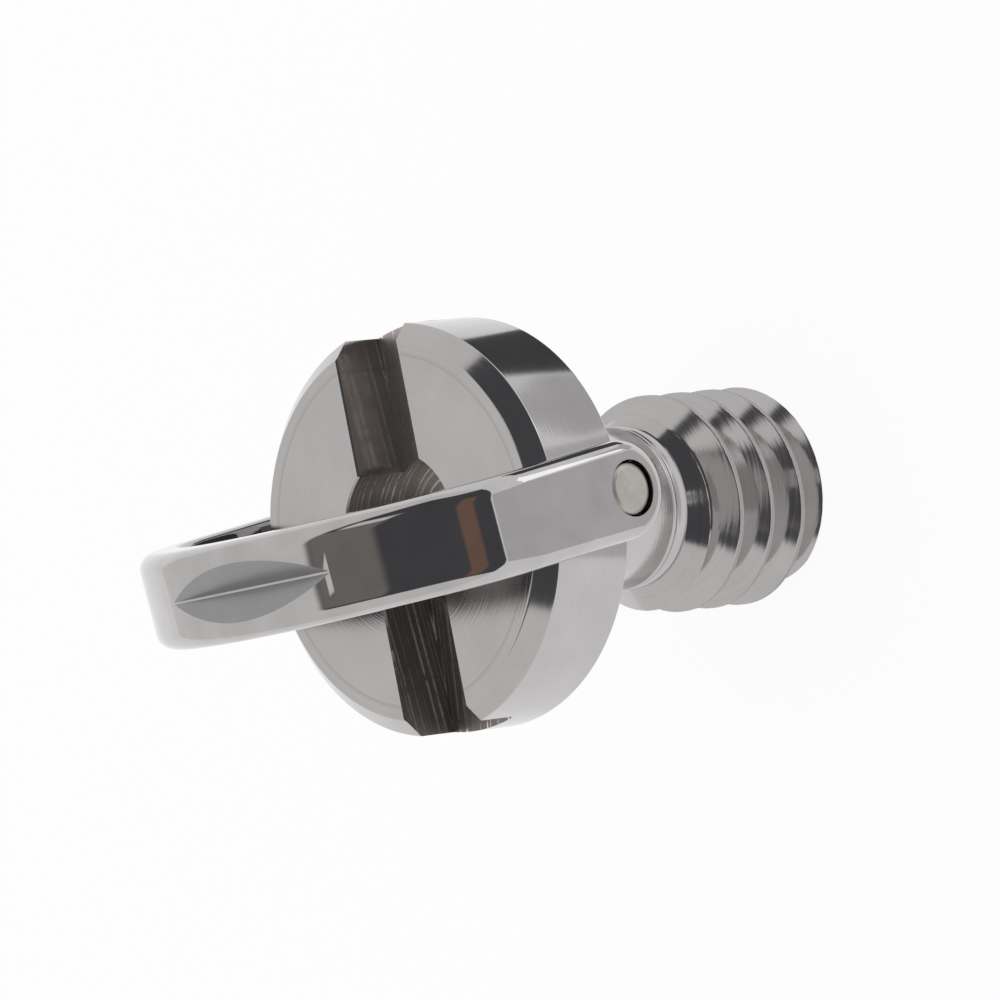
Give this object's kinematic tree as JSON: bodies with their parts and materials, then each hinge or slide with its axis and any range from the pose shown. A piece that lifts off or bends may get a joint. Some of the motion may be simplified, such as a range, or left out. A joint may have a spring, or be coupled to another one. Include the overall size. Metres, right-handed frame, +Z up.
{
  "type": "camera d-ring screw",
  "caption": "Camera screw: a slotted disc head on a necked quarter-inch thread, with a hinged D-ring for turning it by hand or tying a strap.",
  "frame": {"origin": "on the surface that the screw stands on, in line with its axis", "axes": "+Z up from the threaded end to the ring, Y along the hinge, X across the hinge"},
  "size_m": [0.0116, 0.0146, 0.021],
  "materials": {
    "turned_steel": "turned, nickel plated, satin face with a polished rim",
    "polished_steel": "mirror polished",
    "pin_steel": "ground flat, slightly matt"
  },
  "bodies": {
    "screw_body": {"screw": "turned_steel", "pivot_pin_near": "pin_steel", "pivot_pin_far": "pin_steel"},
    "ring_body": {"d_ring": "polished_steel"}
  },
  "joints": [
    {"name": "ring_hinge", "type": "hinge", "parent": "screw_body", "child": "ring_body", "pos_m": [0, 0, 0.0122], "axis": [0, 1, 0], "range_deg": [-137, 153]}
  ]
}
